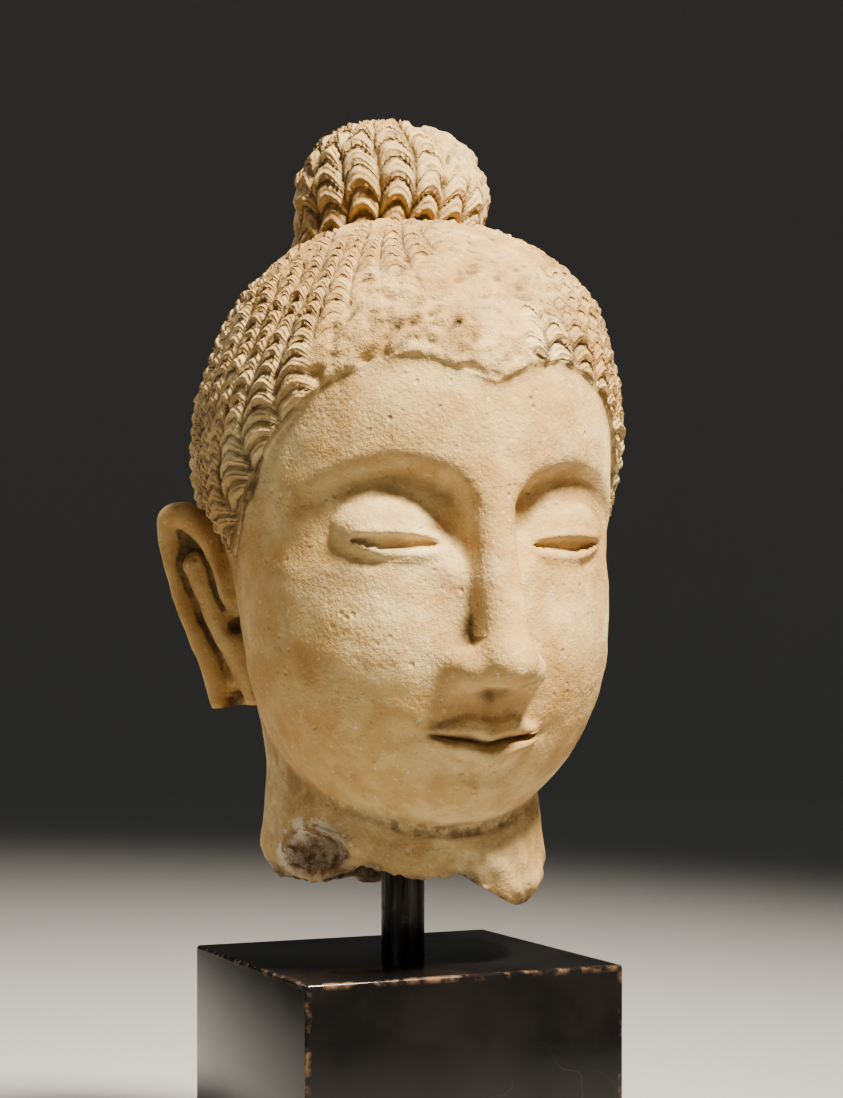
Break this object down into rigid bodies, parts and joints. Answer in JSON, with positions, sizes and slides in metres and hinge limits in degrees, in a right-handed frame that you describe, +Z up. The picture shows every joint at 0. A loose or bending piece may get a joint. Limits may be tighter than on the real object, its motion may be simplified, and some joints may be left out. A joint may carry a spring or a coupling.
{
  "type": "stone buddha head on a stand",
  "caption": "Carved head with scalloped locks, topknot and long ears, broken off at the neck, held on a round metal rod over a square black block.",
  "frame": {"origin": "middle of the block's flat underside", "axes": "+Z up, the block's front faces -Y, and +X is towards the head's own left side"},
  "size_m": [0.1752, 0.2013, 0.4101],
  "materials": {
    "head_stone": "matt, pitted and weathered",
    "rod_metal": "blackened, worn bright in streaks",
    "block_lacquer": "glossy black lacquer, worn at the edges"
  },
  "bodies": {
    "root": {"head": "head_stone", "support_rod": "rod_metal", "base_block": "block_lacquer"}
  },
  "joints": []
}
